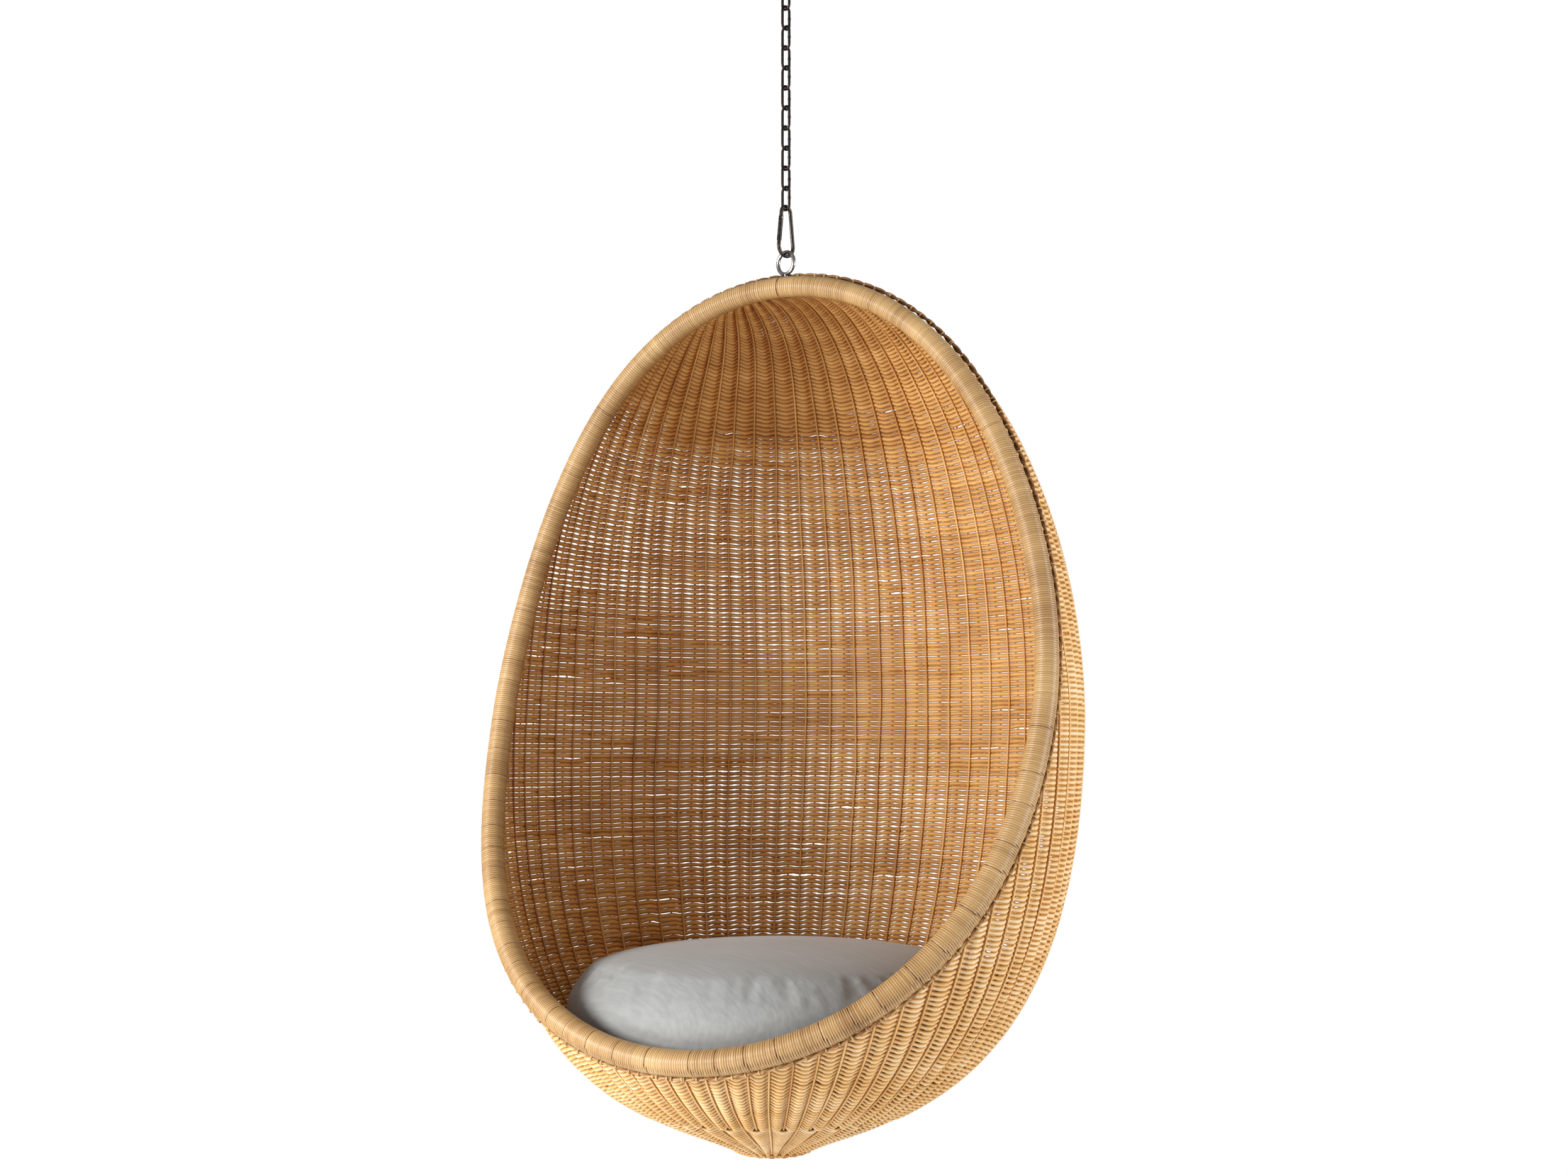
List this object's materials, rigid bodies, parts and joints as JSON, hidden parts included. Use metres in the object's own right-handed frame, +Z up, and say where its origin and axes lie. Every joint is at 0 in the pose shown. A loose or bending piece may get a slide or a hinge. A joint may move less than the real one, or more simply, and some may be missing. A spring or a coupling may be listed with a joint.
{
  "type": "hanging egg chair",
  "caption": "Hanging egg chair: a woven rattan egg with a wrapped rim and a round seat cushion, hung from an eye by a snap hook, a link chain and a ceiling swivel.",
  "frame": {"origin": "centre of the ceiling plate's top face, in the ceiling plane, on the chain's axis", "axes": "+Z up out of the plate's top face, the chair faces -Y, +X to the chair's left hand side seen from the front right; X is across the symmetric egg"},
  "size_m": [0.8628, 0.7941, 1.7324],
  "materials": {
    "plate_steel": "satin dark grey paint",
    "washer_brass": "turned",
    "chain_steel": "dark zinc, slightly dull",
    "hook_steel": "zinc plated",
    "bright_steel": "bright plated",
    "pole_rattan": "peeled rattan pole",
    "peel_rattan": "glossy natural peel",
    "border_rattan": "dark twisted rattan",
    "weave_rattan": "woven cane, satin varnish, about half of it air",
    "hub_rattan": "satin varnished weave",
    "cushion_cloth": "fine ribbed cotton, light grey",
    "cushion_fill": "polyester wadding"
  },
  "bodies": {
    "ceiling": {"ceiling_plate": "plate_steel", "thrust_washer": "washer_brass"},
    "swivel": {"swivel_eye": "chain_steel", "swivel_nut": "chain_steel"},
    "link_01": {"chain_link_01": "chain_steel"},
    "chain": {"chain_link_02": "chain_steel", "chain_link_03": "chain_steel", "chain_link_04": "chain_steel", "chain_link_05": "chain_steel", "chain_link_06": "chain_steel", "chain_link_07": "chain_steel", "chain_link_08": "chain_steel", "chain_link_09": "chain_steel", "chain_link_10": "chain_steel", "chain_link_11": "chain_steel"},
    "snap_hook": {"hook_body": "hook_steel", "gate_pin": "bright_steel"},
    "gate": {"hook_gate": "hook_steel", "gate_spring": "bright_steel"},
    "egg": {"eye_bolt": "bright_steel", "eye_washer": "bright_steel", "eye_nut": "bright_steel", "rim_pole": "pole_rattan", "rim_wrap": "peel_rattan", "border_cord": "border_rattan", "woven_wall": "weave_rattan", "base_hub": "hub_rattan"},
    "cushion": {"cushion_cover": "cushion_cloth", "cushion_filling": "cushion_fill"}
  },
  "joints": [
    {"name": "ceiling_swivel", "type": "hinge", "parent": "ceiling", "child": "swivel", "pos_m": [0, 0, -0.018], "axis": [0, 0, 1], "continuous": true},
    {"name": "link_01_swing", "type": "hinge", "parent": "swivel", "child": "link_01", "pos_m": [0, 0, -0.0545], "axis": [0.3665, 0.9304, 0], "range_deg": [-10, 10]},
    {"name": "chain_swing", "type": "hinge", "parent": "link_01", "child": "chain", "pos_m": [0, 0, -0.0835], "axis": [0.9304, -0.3665, 0], "range_deg": [-10, 10]},
    {"name": "hook_swing", "type": "hinge", "parent": "chain", "child": "snap_hook", "pos_m": [0, 0, -0.3835], "axis": [0.9304, -0.3665, 0], "range_deg": [-8, 8]},
    {"name": "gate_open", "type": "hinge", "parent": "snap_hook", "child": "gate", "pos_m": [-0.00368, -0.00935, -0.3964], "axis": [0.9304, -0.3665, 0], "range_deg": [0, 30], "stiffness_Nm_per_rad": 0.02, "springref_deg": -17.19},
    {"name": "egg_swing", "type": "hinge", "parent": "snap_hook", "child": "egg", "pos_m": [0, 0, -0.45195], "axis": [0.3665, 0.9304, 0], "range_deg": [-12, 12]},
    {"name": "cushion_lift", "type": "slide", "parent": "egg", "child": "cushion", "axis": [0, 0, 1], "range_m": [0, 0.2]}
  ]
}
